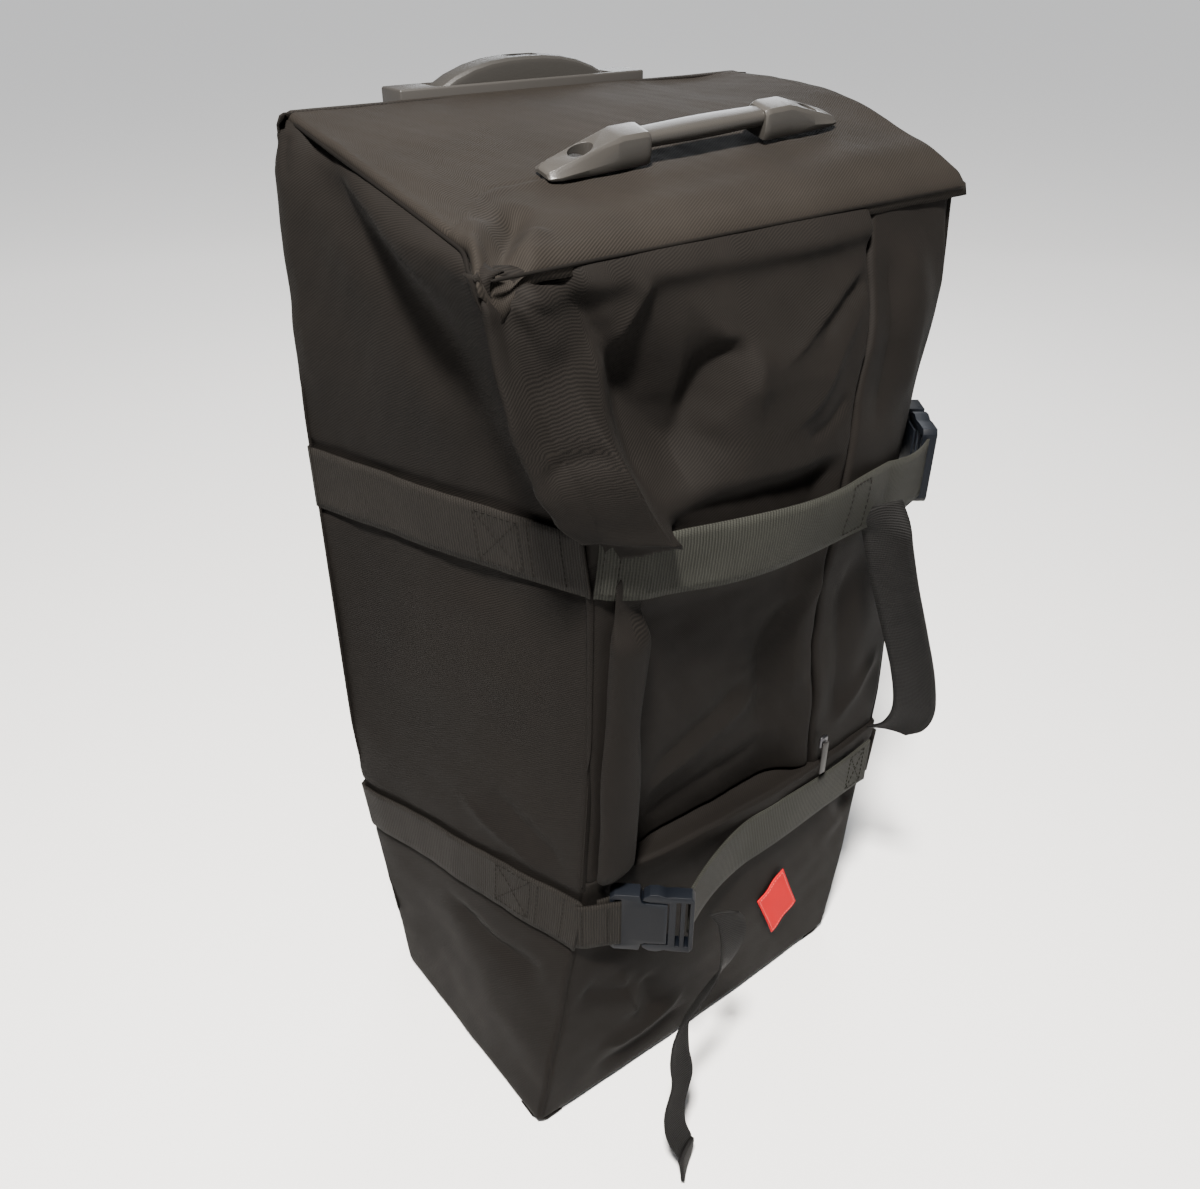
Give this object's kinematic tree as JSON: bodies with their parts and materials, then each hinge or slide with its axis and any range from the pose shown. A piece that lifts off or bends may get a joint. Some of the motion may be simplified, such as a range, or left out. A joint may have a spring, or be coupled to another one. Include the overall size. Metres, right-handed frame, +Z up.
{
  "type": "wheeled travel duffel",
  "caption": "Tall soft travel duffel on wheels with a telescoping tow handle, a side-hinged front lid, compression straps with side-release buckles and a moulded grab handle.",
  "frame": {"origin": "the middle of the flat underside of the moulded base, on the ground the bag stands on", "axes": "+Z up, -Y towards the front with the lid, +X to the right of someone facing the front"},
  "size_m": [0.4493, 0.3699, 0.8198],
  "materials": {
    "fabric": "matte twill",
    "webbing": "ribbed webbing",
    "buckle": "satin moulded",
    "moulding": "fine grain",
    "handle_grey": "satin",
    "tube": "anodised",
    "steel": "plated",
    "tyre": "matte",
    "board": "plain sheet",
    "label": "woven"
  },
  "bodies": {
    "case": {"axle_left": "steel", "axle_right": "steel", "back_board": "board", "back_panel": "fabric", "base_tray": "moulding", "carry_loop": "webbing", "grab_backing_plate": "board", "grab_handle_bar": "handle_grey", "grab_handle_end_left": "handle_grey", "grab_handle_end_right": "handle_grey", "grab_screw_left": "steel", "grab_screw_right": "steel", "handle_bezel": "moulding", "kick_plate": "moulding", "label_patch": "label", "left_front_border": "fabric", "left_side_panel": "fabric", "lower_buckle_female": "buckle", "lower_front_panel": "fabric", "lower_strap_left": "webbing", "lower_strap_right": "webbing", "outer_tube_left": "tube", "outer_tube_right": "tube", "right_front_border": "fabric", "right_side_panel": "fabric", "spine_cover": "moulding", "top_panel": "fabric", "tube_foot": "moulding", "upper_buckle_female": "buckle", "upper_strap_left": "webbing", "upper_strap_right": "webbing", "wheel_housing_left": "moulding", "wheel_housing_right": "moulding"},
    "lid": {"front_lid": "fabric", "storm_roll": "fabric", "zip_tape_lid": "webbing", "upper_strap_front": "webbing", "upper_buckle_male": "buckle"},
    "lower_strap": {"lower_strap_front": "webbing", "lower_buckle_male": "buckle", "lower_strap_tail": "webbing"},
    "tow_handle": {"inner_tube_left": "tube", "inner_tube_right": "tube", "tow_grip": "moulding", "button_spring": "steel"},
    "release_button": {"release_button": "buckle"},
    "wheel_left": {"tyre_left": "tyre", "wheel_hub_left": "moulding", "bearing_left_inner": "steel", "bearing_left_outer": "steel"},
    "wheel_right": {"tyre_right": "tyre", "wheel_hub_right": "moulding", "bearing_right_inner": "steel", "bearing_right_outer": "steel"},
    "zip_slider": {"zip_slider": "steel"},
    "zip_pull": {"zip_pull_tab": "moulding"}
  },
  "joints": [
    {"name": "lid_swing", "type": "hinge", "parent": "case", "child": "lid", "pos_m": [-0.116, -0.132, 0.505], "axis": [0, 0, -1], "range_deg": [0, 110]},
    {"name": "lower_strap_swing", "type": "hinge", "parent": "case", "child": "lower_strap", "pos_m": [0.199, -0.1225, 0.232], "axis": [0, 0, 1], "range_deg": [0, 100]},
    {"name": "tow_handle_slide", "type": "slide", "parent": "case", "child": "tow_handle", "axis": [0, 0, 1], "range_m": [0, 0.42]},
    {"name": "release_button_press", "type": "slide", "parent": "tow_handle", "child": "release_button", "axis": [0, 0, -1], "range_m": [0, 0.004], "stiffness_N_per_m": 400, "springref_m": -0.003, "deforming": ["button_spring"]},
    {"name": "wheel_spin_left", "type": "hinge", "parent": "case", "child": "wheel_left", "pos_m": [-0.15, 0.11, 0.036], "axis": [1, 0, 0], "continuous": true},
    {"name": "wheel_spin_right", "type": "hinge", "parent": "case", "child": "wheel_right", "pos_m": [0.15, 0.11, 0.036], "axis": [1, 0, 0], "continuous": true},
    {"name": "zip_slider_run", "type": "slide", "parent": "case", "child": "zip_slider", "axis": [-0.209, -0.0866, 0.9741], "range_m": [0, 0.14]},
    {"name": "zip_pull_flip", "type": "hinge", "parent": "zip_slider", "child": "zip_pull", "pos_m": [0.1165, -0.13437, 0.3], "axis": [-1, 0, 0], "range_deg": [0, 120]}
  ]
}
